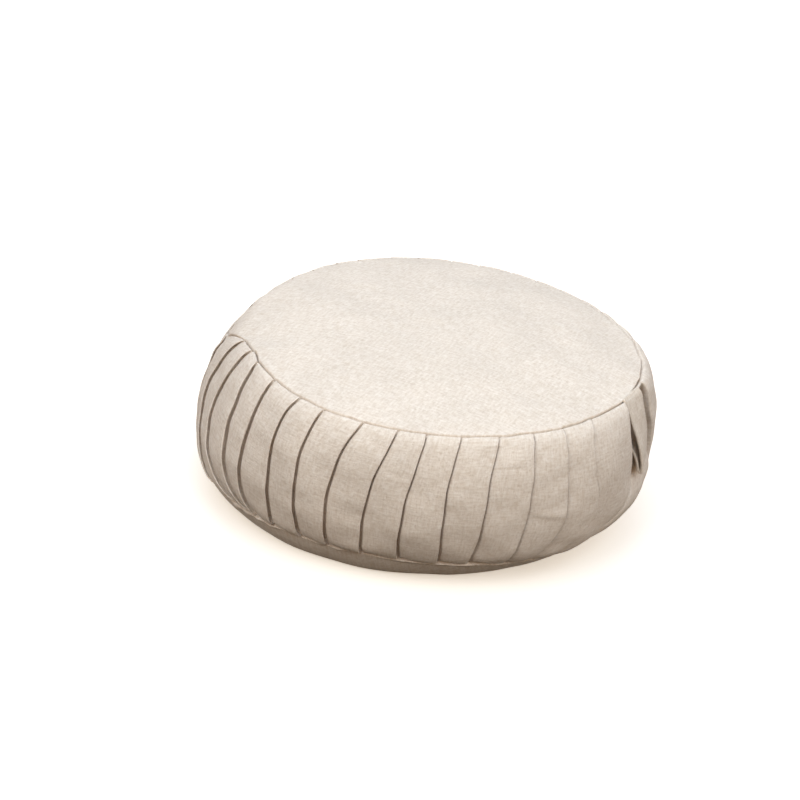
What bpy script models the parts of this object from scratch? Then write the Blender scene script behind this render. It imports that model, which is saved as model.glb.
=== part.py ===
# Round pleated floor cushion for sitting, 36 cm across and 13 cm high.
# A crowned round top panel and a flat base panel are sewn to a band of knife pleats,
# and a folded strap sewn into the top seam makes the carry handle.
# Metres, +Z up. The origin is the centre of the flat foot, and the handle is on the +X side.

import bpy
import bmesh
import math
import random
import numpy as np

# Sizes of the filled body
RADIUS = 0.177
HEIGHT = 0.130
TOP_SEAM_RADIUS = 0.1540
TOP_SEAM_HEIGHT = 0.1175
WIDEST_HEIGHT = 0.0540
BASE_SEAM_RADIUS = 0.1655
BASE_SEAM_HEIGHT = 0.0215
FOOT_RADIUS = 0.1450
BAND_FULLNESS = 1.85
CROWN_FULLNESS = 2.6
BASE_FULLNESS = 1.6

# The filling has slumped, so each level sits a little off the one below, per metre of height
LEAN_X = 0.120
LEAN_Y = 0.124

# Long soft lobes that keep the two seams from being true circles. Columns: waves round the seam,
# size in mm and peak in degrees at the top seam, size in mm and peak in degrees at the base seam
LOBES = (
    (2, 4.2, 122.0, 3.5, -37.5),
    (3, 2.6, 15.5, 4.9, -10.5),
)

# One place where the top seam has slipped outward and down over the band
SLIP_AZIMUTH = -149.0
SLIP_REACH = 16.0
SLIP_OUT = 0.0036
SLIP_DOWN = 0.0042
SLIP_FADE = 4

# Knife pleats, counter-clockwise. Columns: where the fold's edge lies at the top seam, at the
# widest level and at the base seam, in degrees from the handle, and how far it stands over the
# next panel, in millimetres
SHOWN_FOLDS = (
    (-156.5, -152.0, -145.0, 3.4),
    (-144.0, -137.5, -131.0, 3.6),
    (-135.5, -129.5, -122.0, 4.2),
    (-127.5, -120.0, -114.0, 4.6),
    (-117.5, -112.2, -108.0, 4.8),
    (-106.0, -103.5, -100.5, 4.0),
    (-97.3, -96.0, -93.5, 4.0),
    (-86.0, -88.0, -86.0, 4.4),
    (-76.5, -78.8, -77.8, 3.6),
    (-69.2, -70.0, -68.5, 3.8),
    (-60.8, -60.5, -58.8, 4.0),
    (-51.0, -52.0, -51.0, 3.8),
    (-41.7, -41.8, -43.7, 3.4),
    (-32.4, -32.2, -35.5, 2.6),
    (-23.0, -22.8, -29.0, 3.4),
    (-7.4, -8.4, -13.4, 3.6),
)
# A soft fold behind the handle, in the same columns
FOLD_BEHIND_HANDLE = (8.5, 8.5, 6.5, 0.6)
# The folds from there round the back are spaced evenly, with a hand's unevenness, and the last
# few lead over into the slanted folds of the near side
HIDDEN_FOLDS = 20
HIDDEN_WANDER = 0.9
HIDDEN_LIFT = (3.2, 4.6)
LEAD_FOLDS = 6
LEAD_TOP = -3.5
LEAD_BASE = 8.0
# How sharply a fold's line bends away from its place at the widest level, above it and below it
BEND_ABOVE = 2.0
BEND_BELOW = 1.5
RISER_DEGREES = 0.45
# The folds are held flat by the seams, and have their full lift a third of the way from either
LIFT_AT_TOP_SEAM = 0.30
LIFT_AT_BASE_SEAM = 0.45
LIFT_RISE = 3.0

# Across one pleat, from its hidden start to its fold's edge. Columns: place, share of the lift
PLEAT_SECTION = ((0.0, 0.0), (0.14, 0.36), (0.45, 0.72), (0.80, 0.94), (1.0, 1.0))

# Levels of the band, as shares of a quarter turn above and below the widest level
UPPER_LEVELS = (0.06, 0.16, 0.28, 0.42, 0.57, 0.72, 0.87, 1.0)
LOWER_LEVELS = (0.20, 0.40, 0.60, 0.80, 0.95)

# Seams: the top one lies in a shallow valley, and the base one stands out as a narrow ridge
VALLEY_DEPTH = 0.0012
VALLEY_WIDTH = 0.0040
RIDGE_VALLEY = 0.0012
RIDGE_OUT = 0.0014
RIDGE_OUT_DROP = 0.0012
RIDGE_IN = 0.0007
RIDGE_WIDTH = 0.0030

# The band is flatter round the handle, and drawn in behind it, where the strap pulls on it
FLAT_DEPTH = 0.0040
FLAT_REACH = 20.0
FLAT_FADE = 0.02
HOLLOW_DEPTH = 0.0170
# Columns: height, share of the depth
HOLLOW_LEVELS = ((0.1172, 0.0), (0.1153, 0.42), (0.1110, 0.68), (0.1035, 0.93), (0.0960, 1.0),
                 (0.0900, 1.0), (0.0820, 0.85), (0.0740, 0.50), (0.0660, 0.22), (0.0560, 0.05),
                 (0.0480, 0.0))
HOLLOW_RISER_SHARE = 0.55
HOLLOW_NEAR_RAMP = 2.5
HOLLOW_FAR_START = 7.6
HOLLOW_FAR_END = 11.0

# Rings of the top panel and of the base panel, as shares of the seam's radius
CROWN_RINGS = (0.90, 0.74, 0.55, 0.36, 0.18)
BASE_RINGS = (0.35, 0.70)
COARSE_COLUMNS = 74
POLE_COLUMNS = 37
POLE_SHARE = 0.5

# Carry handle: a flat strap folded in half, both ends in the top seam.
# STRAP_MIDDLE is how far its middle lies toward +Y from the X axis, and the line is
# that of its middle seen from the side, from the outer end to the inner one: X and height in mm
STRAP_MIDDLE = 0.014
STRAP_WIDTH = 0.028
STRAP_THICKNESS = 0.0022
STRAP_TWIST = 6.0
STRAP_TWIST_REACH = 0.6
STRAP_LINE = (
    (170.5, 119.3),
    (172.5, 114.3),
    (175.0, 107.5),
    (178.2, 100.0),
    (181.5, 92.0),
    (183.8, 84.0),
    (185.2, 76.5),
    (186.2, 69.6),
    (185.0, 65.6),
    (182.7, 68.4),
    (181.3, 74.4),
    (178.6, 80.2),
    (173.2, 85.0),
    (168.8, 90.0),
    (166.9, 97.0),
    (167.2, 104.5),
    (168.2, 110.4),
    (168.9, 114.6),
)
STRAP_STEPS = 2
STRAP_COLUMNS = 4

SHARP_DEGREES = 45.0
SEED = 36


def clear_scene():
    for thing in list(bpy.data.objects):
        bpy.data.objects.remove(thing, do_unlink=True)


def cloth(name, red, green, blue):
    material = bpy.data.materials.new(name)
    material.use_nodes = True
    shader = material.node_tree.nodes["Principled BSDF"]
    shader.inputs["Base Color"].default_value = (red, green, blue, 1.0)
    shader.inputs["Roughness"].default_value = 0.92
    shader.inputs["Metallic"].default_value = 0.0
    return material


def all_folds():
    # Every fold, counter-clockwise through a full turn, in the columns of SHOWN_FOLDS
    rng = random.Random(SEED)
    folds = list(SHOWN_FOLDS) + [FOLD_BEHIND_HANDLE]
    pitch = (folds[0][1] + 360.0 - folds[-1][1]) / (HIDDEN_FOLDS + 1)
    for number in range(HIDDEN_FOLDS):
        middle = FOLD_BEHIND_HANDLE[1] + pitch * (number + 1)
        wander = [rng.uniform(-HIDDEN_WANDER, HIDDEN_WANDER) for _ in range(3)]
        lead = max(0.0, number + 1 + LEAD_FOLDS - HIDDEN_FOLDS) / LEAD_FOLDS
        top = middle + wander[0] + LEAD_TOP * lead
        base = middle + wander[2] + LEAD_BASE * lead
        folds.append((top, middle + wander[1], base, rng.uniform(*HIDDEN_LIFT)))
    return folds


def lobe(angle, level):
    # How far the seams' lobes move a point out, level 1 at the top seam and 0 at the base seam
    out = 0.0
    for waves, top_mm, top_peak, base_mm, base_peak in LOBES:
        top = top_mm * math.cos(waves * (angle - math.radians(top_peak)))
        base = base_mm * math.cos(waves * (angle - math.radians(base_peak)))
        out += top * level + base * (1.0 - level)
    return out / 1000.0


def slip(angle, level):
    # How much of the top seam's slip a point has
    away = (math.degrees(angle) - SLIP_AZIMUTH + 180.0) % 360.0 - 180.0
    if abs(away) > SLIP_REACH or level < 0.0:
        return 0.0
    return math.cos(0.5 * math.pi * away / SLIP_REACH) ** 2 * level ** SLIP_FADE


def place(angle, radius, height, level, share=1.0):
    # A point of the body: share is its part of the seam's radius, which fades what the seam does
    slipped = slip(angle, level) * share ** SLIP_FADE
    out = radius + lobe(angle, level) * share + SLIP_OUT * slipped
    up = height - SLIP_DOWN * slipped
    return (out * math.cos(angle) + LEAN_X * up, out * math.sin(angle) + LEAN_Y * up, up)


def band_levels():
    # Radius, height, level between the seams and share of the pleats' lift, down the band
    power = 2.0 / BAND_FULLNESS
    levels = []
    for share in UPPER_LEVELS:
        turn = share * math.pi / 2
        radius = TOP_SEAM_RADIUS + (RADIUS - TOP_SEAM_RADIUS) * math.sin(turn) ** power
        height = WIDEST_HEIGHT + (TOP_SEAM_HEIGHT - WIDEST_HEIGHT) * math.cos(turn) ** power
        levels.append((radius, max(height, WIDEST_HEIGHT)))
    for share in LOWER_LEVELS:
        turn = share * math.pi / 2
        radius = BASE_SEAM_RADIUS + (RADIUS - BASE_SEAM_RADIUS) * math.cos(turn) ** power
        height = WIDEST_HEIGHT - (WIDEST_HEIGHT - BASE_SEAM_HEIGHT) * math.sin(turn) ** power
        levels.append((radius, height))
    rows = []
    for radius, height in levels:
        level = (height - BASE_SEAM_HEIGHT) / (TOP_SEAM_HEIGHT - BASE_SEAM_HEIGHT)
        fade_up = min(1.0, LIFT_AT_TOP_SEAM + (1.0 - level) * LIFT_RISE)
        fade_down = min(1.0, LIFT_AT_BASE_SEAM + level * LIFT_RISE)
        rows.append((radius, height, level, min(fade_up, fade_down)))
    return rows


def fold_azimuth(fold, level):
    # A smooth line through the fold's three stated places
    middle = (WIDEST_HEIGHT - BASE_SEAM_HEIGHT) / (TOP_SEAM_HEIGHT - BASE_SEAM_HEIGHT)
    top, widest, base = fold[0], fold[1], fold[2]
    if level >= middle:
        share = (level - middle) / (1.0 - middle)
        return widest + (top - widest) * share ** BEND_ABOVE
    share = (middle - level) / middle
    return widest + (base - widest) * share ** BEND_BELOW


def hollow(azimuth_degrees, riser_degrees, height):
    # How far the band is drawn in round and behind the handle
    heights = [row[0] for row in reversed(HOLLOW_LEVELS)]
    shares = [row[1] for row in reversed(HOLLOW_LEVELS)]
    depth = HOLLOW_DEPTH * float(np.interp(height, heights, shares))
    past = azimuth_degrees - riser_degrees
    flat = 0.0
    if abs(azimuth_degrees) < FLAT_REACH:
        flat = math.cos(0.5 * math.pi * azimuth_degrees / FLAT_REACH) ** 2
    flat *= FLAT_DEPTH * min(1.0, max(0.0, (TOP_SEAM_HEIGHT - height) / FLAT_FADE))
    if past < 0.0 or azimuth_degrees > HOLLOW_FAR_END:
        return flat
    near = min(1.0, HOLLOW_RISER_SHARE + (1.0 - HOLLOW_RISER_SHARE) * past / HOLLOW_NEAR_RAMP)
    far = (azimuth_degrees - HOLLOW_FAR_START) / (HOLLOW_FAR_END - HOLLOW_FAR_START)
    far = min(1.0, max(0.0, far))
    return flat + depth * near * (1.0 - far * far * (3.0 - 2.0 * far))


def pleat_columns(folds, level, lift_share):
    # Azimuth in degrees and radial offset of every column at one level
    columns = []
    riser = fold_azimuth(SHOWN_FOLDS[-1], level)
    for number, fold in enumerate(folds):
        before = folds[number - 1]
        start = fold_azimuth(before, level) + RISER_DEGREES
        end = fold_azimuth(fold, level)
        while end < start:
            end += 360.0
        if end - start > 180.0:
            start += 360.0
        for across, share in PLEAT_SECTION:
            azimuth = start + (end - start) * across
            # the start tucks under the fold before it, and the edge stands over the next one
            low = -0.5 * before[3] * (1.0 - across)
            high = 0.5 * fold[3] * across
            puff = (share - across) * 0.5 * (before[3] + fold[3])
            columns.append((azimuth, (low + high + puff) * lift_share / 1000.0, riser))
    return columns


def band_ring(folds, row):
    radius, height, level, lift_share = row
    ring = []
    for azimuth, offset, riser in pleat_columns(folds, level, lift_share):
        turned = (azimuth + 180.0) % 360.0 - 180.0
        drawn = hollow(turned, riser + 0.5 * RISER_DEGREES, height)
        ring.append(place(math.radians(azimuth), radius + offset - drawn, height, level))
    return ring


def seam_ring(folds, level, radius, height):
    # A ring in step with the pleats' columns, without their relief
    columns = pleat_columns(folds, level, 0.0)
    return [place(math.radians(column[0]), radius, height, level) for column in columns]


def plain_ring(count, radius, height, level, share, start):
    # An evenly spaced ring
    turns = [start + 2.0 * math.pi * number / count for number in range(count)]
    return [place(angle, radius, height, level, share) for angle in turns]


def zip_rings(mesh, upper, lower):
    # Triangles between two closed rings of any counts, both counter-clockwise from one side,
    # always closing the shorter step next
    i = 0
    j = 0
    while i < len(upper) or j < len(lower):
        upper_is_next = (i + 1) * len(lower) <= (j + 1) * len(upper)
        take_upper = j >= len(lower) or (i < len(upper) and upper_is_next)
        a = upper[i % len(upper)]
        b = lower[j % len(lower)]
        if take_upper:
            mesh.faces.new((b, upper[(i + 1) % len(upper)], a))
            i += 1
        else:
            mesh.faces.new((b, lower[(j + 1) % len(lower)], a))
            j += 1


def finish_object(name, mesh, material):
    bmesh.ops.recalc_face_normals(mesh, faces=mesh.faces)
    data = bpy.data.meshes.new(name)
    mesh.to_mesh(data)
    mesh.free()
    data.materials.append(material)
    data.shade_smooth()
    data.set_sharp_from_angle(angle=math.radians(SHARP_DEGREES))
    thing = bpy.data.objects.new(name, data)
    bpy.context.scene.collection.objects.link(thing)
    return thing


def cushion_body(material):
    folds = all_folds()
    start = math.radians(folds[-1][1])
    rings = []

    # Top panel, from the crown's pole out to the seam's valley
    height_above = HEIGHT - TOP_SEAM_HEIGHT
    for share in reversed(CROWN_RINGS):
        count = POLE_COLUMNS if share < POLE_SHARE else COARSE_COLUMNS
        height = TOP_SEAM_HEIGHT + height_above * (1.0 - share ** CROWN_FULLNESS)
        rings.append(plain_ring(count, TOP_SEAM_RADIUS * share, height, 1.0, share, start))
    rim = (TOP_SEAM_RADIUS - VALLEY_WIDTH) / TOP_SEAM_RADIUS
    rim_height = TOP_SEAM_HEIGHT + height_above * (1.0 - rim ** CROWN_FULLNESS)
    rings.append(seam_ring(folds, 1.0, TOP_SEAM_RADIUS - VALLEY_WIDTH, rim_height))
    rings.append(seam_ring(folds, 1.0, TOP_SEAM_RADIUS, TOP_SEAM_HEIGHT - VALLEY_DEPTH))

    # Pleated band
    for row in band_levels():
        rings.append(band_ring(folds, row))

    # Base seam: a small valley, then the ridge of the joined edges
    radius = BASE_SEAM_RADIUS
    height = BASE_SEAM_HEIGHT
    rings.append(seam_ring(folds, 0.0, radius - RIDGE_VALLEY, height))
    rings.append(seam_ring(folds, 0.0, radius + RIDGE_OUT, height - RIDGE_OUT_DROP))
    rings.append(seam_ring(folds, 0.0, radius - RIDGE_IN, height - RIDGE_WIDTH))

    # Base panel, curving under to the flat foot
    edge = height - RIDGE_WIDTH
    for share in BASE_RINGS:
        here = radius + (FOOT_RADIUS - radius) * share
        rings.append(plain_ring(COARSE_COLUMNS, here, edge * (1.0 - share) ** BASE_FULLNESS,
                                0.0, 1.0 - share, start))
    rings.append(plain_ring(COARSE_COLUMNS, FOOT_RADIUS, 0.0, 0.0, 0.0, start))

    mesh = bmesh.new()
    placed = [[mesh.verts.new(point) for point in ring] for ring in rings]
    for upper, lower in zip(placed, placed[1:]):
        zip_rings(mesh, upper, lower)
    crown = mesh.verts.new(place(0.0, 0.0, HEIGHT, 1.0, 0.0))
    for first, second in zip(placed[0], placed[0][1:] + placed[0][:1]):
        mesh.faces.new((first, second, crown))
    mesh.faces.new(placed[-1])
    bmesh.ops.triangulate(mesh, faces=[face for face in mesh.faces if len(face.verts) > 4])
    return finish_object("cushion_body", mesh, material)


def strap_path():
    # A smooth line through the strap's stated points, each stretch cut into equal steps
    points = [np.array(point) / 1000.0 for point in STRAP_LINE]
    points = [2 * points[0] - points[1]] + points + [2 * points[-1] - points[-2]]
    path = []
    for number in range(1, len(points) - 2):
        a, b, c, d = points[number - 1:number + 3]
        for step in range(STRAP_STEPS):
            t = step / STRAP_STEPS
            path.append(0.5 * ((2 * b) + (c - a) * t + (2 * a - 5 * b + 4 * c - d) * t * t
                               + (3 * b - a - 3 * c + d) * t ** 3))
    path.append(points[-2])
    return path


def carry_handle(material):
    # A rectangle carried along the strap's line, with a slight twist in the outer leg
    path = strap_path()
    count = len(path)
    half = 0.5 * STRAP_THICKNESS
    sides = [STRAP_WIDTH * (column / STRAP_COLUMNS - 0.5) for column in range(STRAP_COLUMNS + 1)]
    mesh = bmesh.new()
    rings = []
    for number, point in enumerate(path):
        ahead = path[min(number + 1, count - 1)] - path[max(number - 1, 0)]
        along = ahead / np.linalg.norm(ahead)
        normal = np.array((-along[1], along[0]))
        share = min(1.0, number / (count - 1) / STRAP_TWIST_REACH)
        twist = math.tan(math.radians(STRAP_TWIST)) * math.sin(math.pi * share) ** 2
        ring = []
        for side, order in ((half, sides), (-half, sides[::-1])):
            for across in order:
                out = point[0] + normal[0] * side - across * twist
                height = point[1] + normal[1] * side
                ring.append(mesh.verts.new((out, STRAP_MIDDLE + across, height)))
        rings.append(ring)
    for first, second in zip(rings, rings[1:]):
        for corner in range(len(first)):
            after = (corner + 1) % len(first)
            mesh.faces.new((first[corner], first[after], second[after], second[corner]))
    for ring in (rings[0], rings[-1]):
        # each end is closed by strips between its two faces
        for column in range(STRAP_COLUMNS):
            back = len(ring) - 1 - column
            mesh.faces.new((ring[column], ring[column + 1], ring[back - 1], ring[back]))
    return finish_object("carry_handle", mesh, material)


def main():
    clear_scene()
    cushion_body(cloth("natural linen", 0.72, 0.64, 0.56))
    carry_handle(cloth("natural linen strap", 0.68, 0.59, 0.50))


main()
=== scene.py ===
import math
import random
import bpy
import numpy as np
from mathutils import Matrix, Vector


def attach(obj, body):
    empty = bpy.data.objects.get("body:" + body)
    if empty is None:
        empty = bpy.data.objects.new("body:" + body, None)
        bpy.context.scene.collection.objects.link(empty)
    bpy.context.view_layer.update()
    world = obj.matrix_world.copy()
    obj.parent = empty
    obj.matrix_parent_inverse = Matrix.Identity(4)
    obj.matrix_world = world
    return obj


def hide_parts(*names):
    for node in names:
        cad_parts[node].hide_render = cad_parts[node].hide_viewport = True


# Round pleated floor cushion, 36 cm across. The frame gives the filled body and the strap as
# plain solids, and this script dresses them: one sewn cover of linen with a crowned top panel,
# a band of knife pleats and a base panel, and a folded carry strap with its stitching.

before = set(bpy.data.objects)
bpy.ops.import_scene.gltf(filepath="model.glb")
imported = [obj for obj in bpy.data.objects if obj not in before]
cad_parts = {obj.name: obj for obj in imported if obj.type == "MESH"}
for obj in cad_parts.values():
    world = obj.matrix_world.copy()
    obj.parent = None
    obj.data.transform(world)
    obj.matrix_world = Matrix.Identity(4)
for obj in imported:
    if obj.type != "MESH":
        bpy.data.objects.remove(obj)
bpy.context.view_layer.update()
mm = 0.001
print("frame loaded:", sorted(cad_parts))


def hexToLinear(code):
    # sRGB hex to linear: each channel c becomes ((c + 0.055) / 1.055) ^ 2.4
    values = np.array([int(code[i:i + 2], 16) for i in (1, 3, 5)]) / 255
    linear = np.where(values <= 0.04045, values / 12.92, ((values + 0.055) / 1.055) ** 2.4)
    return (*linear.tolist(), 1.0)


def addNode(tree, kind, inputs=None, **settings):
    # One node with its own settings; an input is a value or another node's socket
    node = tree.nodes.new(kind)
    for name, value in settings.items():
        setattr(node, name, value)
    for name, value in (inputs or {}).items():
        if isinstance(value, bpy.types.NodeSocket):
            tree.links.new(value, node.inputs[name])
        else:
            node.inputs[name].default_value = value
    return node


def softNoise(points, size, seed, waves=14):
    # A sum of cosine waves of about that length in random directions, about one unit high
    draw = np.random.default_rng(seed)
    ways = draw.normal(size=(waves, 3))
    ways /= np.linalg.norm(ways, axis=1)[:, None]
    ways *= 2 * math.pi / (size * draw.uniform(0.7, 1.5, (waves, 1)))
    return np.cos(points @ ways.T + draw.uniform(0, 2 * math.pi, waves)).sum(-1) * math.sqrt(2 / waves)


def layClothMap(piece, corners):
    # One place on the cloth, in metres, for each face corner
    layer = piece.data.uv_layers.new(name="cloth")
    layer.uv.foreach_set("vector", corners.astype(np.float32).ravel())


def newPiece(name, points, faces, material=None):
    mesh = bpy.data.meshes.new(name)
    mesh.from_pydata(points.reshape(-1, 3).tolist(), [], faces)
    if material:
        mesh.materials.append(material)
    mesh.shade_smooth()
    piece = bpy.data.objects.new(name, mesh)
    bpy.context.scene.collection.objects.link(piece)
    return piece


# Woven linen, the colours from its paler and darker yarns
linen = {
    "pale": "#e9dfd4",
    "cloth": "#d4c5b5",
    "fleck": "#b9a592",
    "threadPitch": 2.0 * mm,      # yarn is about 0.8 mm thick, drawn coarser so that it shows
    "slubLength": 8 * mm,         # and so are its slubs
    "slubWidth": 1.7 * mm,
    "slubRange": (0.75, 1.30),    # thickness of both yarns that turns the cloth pale
    "fleckSize": 2.2 * mm,
    "fleckRange": (0.50, 0.78),
    "fleckMost": 0.55,
    "fadeSize": 45 * mm,
    "fadeRange": (0.96, 1.03),
    "wanderLength": 6 * mm,
    "wanderSize": 1.6 * mm,
    "weaveShare": 0.06,           # height of the weave beside that of the slubs
    "relief": 0.35 * mm,
    "roughness": 0.92,
    "sheen": 0.12,
    "sheenRoughness": 0.6,
    "specular": 0.25,
}


def wovenLinen(name, look):
    # Washed linen, plain woven from uneven flax yarn: matt, with slubs along both thread
    # directions, scattered darker and paler flecks, and a faint woolly edge
    material = bpy.data.materials.new(name)
    material.use_nodes = True
    tree = material.node_tree
    shader = tree.nodes["Principled BSDF"]
    shader.inputs["Roughness"].default_value = look["roughness"]
    shader.inputs["Sheen Weight"].default_value = look["sheen"]
    shader.inputs["Sheen Roughness"].default_value = look["sheenRoughness"]
    shader.inputs["Specular IOR Level"].default_value = look["specular"]
    cloth = addNode(tree, "ShaderNodeUVMap", uv_map="cloth").outputs["UV"]
    place = addNode(tree, "ShaderNodeTexCoord").outputs["Object"]

    # threads wander a little, so the weave isn't ruled
    wander = addNode(tree, "ShaderNodeTexNoise", {"Vector": cloth, "Scale": 1 / look["wanderLength"],
                                                  "Detail": 2.0})
    wander = addNode(tree, "ShaderNodeVectorMath",
                     {0: wander.outputs["Color"], 3: look["wanderSize"]}, operation="SCALE")
    thread = addNode(tree, "ShaderNodeVectorMath", {0: cloth, 1: wander.outputs[0]}, operation="ADD")
    thread = addNode(tree, "ShaderNodeVectorMath",
                     {0: thread.outputs[0], 3: math.pi / look["threadPitch"]}, operation="SCALE")
    thread = addNode(tree, "ShaderNodeVectorMath", {0: thread.outputs[0]}, operation="SINE")
    thread = addNode(tree, "ShaderNodeSeparateXYZ", {0: thread.outputs[0]})
    weave = addNode(tree, "ShaderNodeMath", {0: thread.outputs["X"], 1: thread.outputs["Y"]},
                    operation="MULTIPLY")

    # slubs: thick places in the yarn, long and thin, one set along each thread direction
    long, thin = 1 / look["slubLength"], 1 / look["slubWidth"]
    yarns = []
    for pull in ((long, thin, 1), (thin, long, 1)):
        along = addNode(tree, "ShaderNodeVectorMath", {0: cloth, 1: pull}, operation="MULTIPLY")
        yarns.append(addNode(tree, "ShaderNodeTexNoise", {"Vector": along.outputs[0], "Scale": 1.0,
                                                          "Detail": 3.0, "Roughness": 0.6}))
    slubs = addNode(tree, "ShaderNodeMath", {0: yarns[0].outputs["Fac"], 1: yarns[1].outputs["Fac"]},
                    operation="ADD")
    fleck = addNode(tree, "ShaderNodeTexNoise", {"Vector": place, "Scale": 1 / look["fleckSize"],
                                                 "Detail": 3.0, "Roughness": 0.7})
    fade = addNode(tree, "ShaderNodeTexNoise", {"Vector": place, "Scale": 1 / look["fadeSize"],
                                                "Detail": 2.0})

    # colour: the pale cloth, darker flecks where yarn is thin, and a slow fade over the piece
    pale = addNode(tree, "ShaderNodeMapRange", {"Value": slubs.outputs[0],
                                                "From Min": look["slubRange"][0],
                                                "From Max": look["slubRange"][1]})
    base = addNode(tree, "ShaderNodeMix", {"Factor": pale.outputs[0], "A": hexToLinear(look["cloth"]),
                                           "B": hexToLinear(look["pale"])}, data_type="RGBA")
    dark = addNode(tree, "ShaderNodeMapRange", {"Value": fleck.outputs["Fac"],
                                                "From Min": look["fleckRange"][0],
                                                "From Max": look["fleckRange"][1],
                                                "To Max": look["fleckMost"]})
    spotted = addNode(tree, "ShaderNodeMix", {"Factor": dark.outputs[0], "A": base.outputs[2],
                                              "B": hexToLinear(look["fleck"])}, data_type="RGBA")
    slow = addNode(tree, "ShaderNodeMapRange", {"Value": fade.outputs["Fac"], "From Min": 0.3,
                                                "From Max": 0.7, "To Min": look["fadeRange"][0],
                                                "To Max": look["fadeRange"][1]})
    colour = addNode(tree, "ShaderNodeVectorMath", {0: spotted.outputs[2], 3: slow.outputs[0]},
                     operation="SCALE")
    tree.links.new(colour.outputs[0], shader.inputs["Base Color"])

    # relief: the weave's bumps on top of the slubs
    high = addNode(tree, "ShaderNodeMath", {0: weave.outputs[0], 1: look["weaveShare"],
                                            2: slubs.outputs[0]}, operation="MULTIPLY_ADD")
    bump = addNode(tree, "ShaderNodeBump", {"Height": high.outputs[0], "Distance": look["relief"],
                                            "Strength": 0.8})
    tree.links.new(bump.outputs[0], shader.inputs["Normal"])
    return material


coverLinen = wovenLinen("washedWovenLinen", linen)
doubled = {**linen, "pale": "#e6dbce", "cloth": "#d2c3b2"}    # the strap's linen looks a shade darker
strapLinen = wovenLinen("doubledWovenLinen", doubled)
print("materials made")


# The cover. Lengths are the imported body's own, and azimuths are in degrees about its axis
cover = {
    "radius": 177 * mm,
    "height": 130 * mm,
    "topSeamRadius": 154 * mm,
    "topSeamHeight": 117.5 * mm,
    "widestHeight": 54 * mm,
    "baseSeamRadius": 165.5 * mm,
    "baseSeamHeight": 21.5 * mm,
    "footRadius": 145 * mm,
    "bandFullness": 1.85,
    "crownFullness": 2.6,
    "baseFullness": 1.6,
    "lean": (0.120, 0.124),                   # sideways slump for each metre of height
    "lobes": ((2, 4.2, 122.0, 3.5, -37.5),    # waves, mm and peak at the top seam, and at the base
              (3, 2.6, 15.5, 4.9, -10.5)),
    # a corner pulled out and down at the top seam, dying away with a power of the level
    "slip": {"azimuth": -149.0, "reach": 16.0, "out": 3.6 * mm, "down": 4.2 * mm, "fade": 4},
    # the top seam runs down the side from start to peak, and back up over fall; the panel follows
    # as far in as reach
    "creep": {"start": -144.0, "peak": -164.0, "fall": 14.0, "run": 29 * mm, "reach": 60 * mm},
    "swells": ((-163.0, 28.0, 2.8, 0.45, 0.3),    # azimuth, reach, mm out, place and spread down the cloth
               (14.0, 24.0, 2.8, 0.68, 0.16)),
    "sag": {"azimuth": -27.0, "reach": 30.0, "size": 2.2 * mm, "spread": 12 * mm},       # downward
    "tuckIn": {"azimuth": -22.0, "reach": 34.0, "size": 4.0 * mm, "spread": 4 * mm},     # inward
    "flatDepth": 4.0 * mm,                    # the stretch round the strap is flatter
    "flatReach": 20.0,
    "flatFade": 20 * mm,
    "flatFoot": (42 * mm, 62 * mm),
    "seamRows": (0.25, 0.5, 0.9, 1.5, 2.5, 4.0, 6.2),
    "panelRows": (9.0, 3.6, 70.0),            # first, pitch and last, mm in from the top seam
    "middleRows": (75.0, 6.5, 151.0),
    "bandRows": 78,
    "seamEdgeRows": 6,                        # how many of the seam rows the band has at each end
    "profileSteps": (400, 200),               # points on each quarter of the band, and on the panel
    "baseShares": (0.0, 0.05, 0.12, 0.22, 0.34, 0.47, 0.61, 0.75, 0.88, 1.0),
    "footShares": (0.85, 0.6, 0.3, 0.08),
}

# One row for each fold that shows, counter-clockwise. Its azimuth at the top seam, a third and
# two thirds of the way down the cloth, and at the base seam; the width in mm of the slot beside
# it high up, halfway and low; and the step in mm from its edge to the next panel
shownFolds = (
    (-161.0, -158.0, -153.5, -148.5, 1.0, 1.4, 1.6, 1.8),
    (-145.5, -145.5, -141.5, -126.0, 1.0, 1.6, 1.8, 1.8),
    (-136.5, -136.0, -131.5, -115.0, 1.0, 1.7, 1.9, 1.8),
    (-129.5, -124.8, -121.0, -110.0, 1.0, 2.1, 2.1, 2.0),
    (-117.5, -116.2, -114.0, -108.0, 0.9, 1.8, 1.9, 1.8),
    (-105.5, -106.5, -104.5, -102.0, 0.8, 1.4, 1.8, 1.6),
    (-97.0, -98.0, -96.5, -93.5, 0.8, 1.5, 1.8, 1.6),
    (-85.5, -88.5, -88.0, -86.5, 0.8, 1.7, 1.8, 1.6),
    (-76.5, -78.5, -79.0, -77.0, 0.6, 1.2, 2.0, 1.4),
    (-69.5, -70.0, -70.0, -68.0, 0.5, 1.2, 2.1, 1.4),
    (-60.5, -61.5, -60.5, -58.0, 0.6, 1.3, 2.1, 1.4),
    (-50.5, -52.0, -51.5, -51.0, 0.9, 1.2, 3.0, 1.4),
    (-41.0, -41.5, -41.0, -43.0, 0.9, 1.4, 3.2, 1.8),
    (-32.0, -32.0, -31.0, -38.0, 0.6, 1.5, 3.4, 1.8),
    (-21.5, -23.5, -21.5, -33.5, 0.8, 1.5, 3.6, 2.0),
    (-6.0, -7.0, -7.5, -28.0, 1.6, 2.4, 4.2, 2.4),     # the handle fold
    (8.0, 9.2, 10.5, 8.0, 0.3, 0.3, 0.3, 0.3),         # soft fold behind the strap
)
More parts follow.
